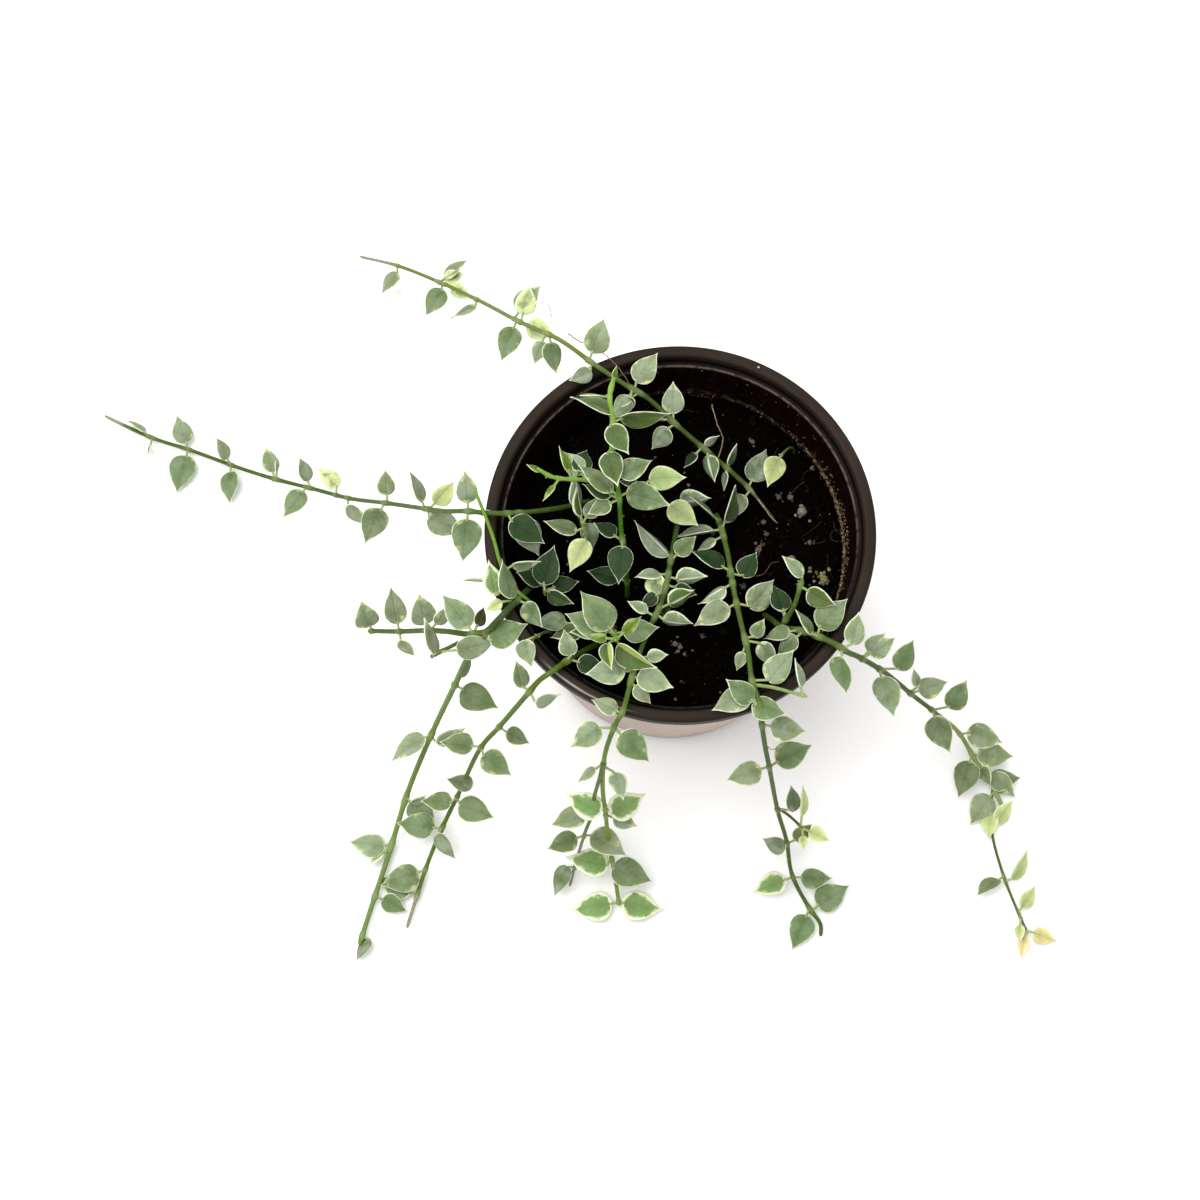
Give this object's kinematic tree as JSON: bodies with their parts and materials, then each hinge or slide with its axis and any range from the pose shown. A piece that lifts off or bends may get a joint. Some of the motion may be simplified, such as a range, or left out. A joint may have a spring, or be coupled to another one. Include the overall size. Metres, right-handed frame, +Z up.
{
  "type": "potted dischidia",
  "caption": "Trailing dischidia with paired fleshy heart-shaped leaves in a round nursery pot; the long vines spill over the rim and lie on the surface",
  "frame": {"origin": "middle of the underside of the pot's base, on the surface it stands on", "axes": "+Z is up along the pot's axis; -Y points at the side the most vines hang over, seen first in the picture; +X is to the right seen from there, along the long left-to-right spread of the vines"},
  "size_m": [0.3581, 0.2759, 0.1462],
  "materials": {
    "pot_plastic": "matte moulded plastic, dark brown at the rim and inside, paler and dusty taupe outside, with a dried tan dirt line inside above the soil",
    "soil": "loose, near-black peat-like potting soil with a few pale crumbs",
    "vine_back_left_leaf": "living leaf and stem: thick, softly waxy grey-green blades, some with cream margins, on smooth green stems",
    "vine_left_long_leaf": "living leaf and stem: thick, softly waxy grey-green blades, some with cream margins, on smooth green stems",
    "vine_front_left_leaf": "living leaf and stem: thick, softly waxy grey-green blades, some with cream margins, on smooth green stems",
    "vine_front_left_inner_leaf": "living leaf and stem: thick, softly waxy grey-green blades, some with cream margins, on smooth green stems",
    "vine_front_leaf": "living leaf and stem: thick, softly waxy grey-green blades, some with cream margins, on smooth green stems",
    "vine_front_right_leaf": "living leaf and stem: thick, softly waxy grey-green blades, some with cream margins, on smooth green stems",
    "vine_right_leaf": "living leaf and stem: thick, softly waxy grey-green blades, some with cream margins, on smooth green stems",
    "shoot_upright_leaf": "living leaf and stem: thick, softly waxy grey-green blades, some with cream margins, on smooth green stems",
    "shoot_left_rim_leaf": "living leaf and stem: thick, softly waxy grey-green blades, some with cream margins, on smooth green stems",
    "shoot_centre_left_leaf": "living leaf and stem: thick, softly waxy grey-green blades, some with cream margins, on smooth green stems",
    "shoot_front_leaves_leaf": "living leaf and stem: thick, softly waxy grey-green blades, some with cream margins, on smooth green stems",
    "shoot_left_low_leaf": "living leaf and stem: thick, softly waxy grey-green blades, some with cream margins, on smooth green stems",
    "shoot_left_dark_leaf": "living leaf and stem: thick, softly waxy grey-green blades, some with cream margins, on smooth green stems",
    "shoot_centre_leaf": "living leaf and stem: thick, softly waxy grey-green blades, some with cream margins, on smooth green stems",
    "sprout_wall_leaf": "living leaf and stem: thick, softly waxy grey-green blades, some with cream margins, on smooth green stems"
  },
  "bodies": {
    "root": {"pot": "pot_plastic", "soil": "soil", "vine_back_left": "vine_back_left_leaf", "vine_left_long": "vine_left_long_leaf", "vine_front_left": "vine_front_left_leaf", "vine_front_left_inner": "vine_front_left_inner_leaf", "vine_front": "vine_front_leaf", "vine_front_right": "vine_front_right_leaf", "vine_right": "vine_right_leaf", "shoot_upright": "shoot_upright_leaf", "shoot_left_rim": "shoot_left_rim_leaf", "shoot_centre_left": "shoot_centre_left_leaf", "shoot_front_leaves": "shoot_front_leaves_leaf", "shoot_left_low": "shoot_left_low_leaf", "shoot_left_dark": "shoot_left_dark_leaf", "shoot_centre": "shoot_centre_leaf", "sprout_wall": "sprout_wall_leaf"}
  },
  "joints": []
}
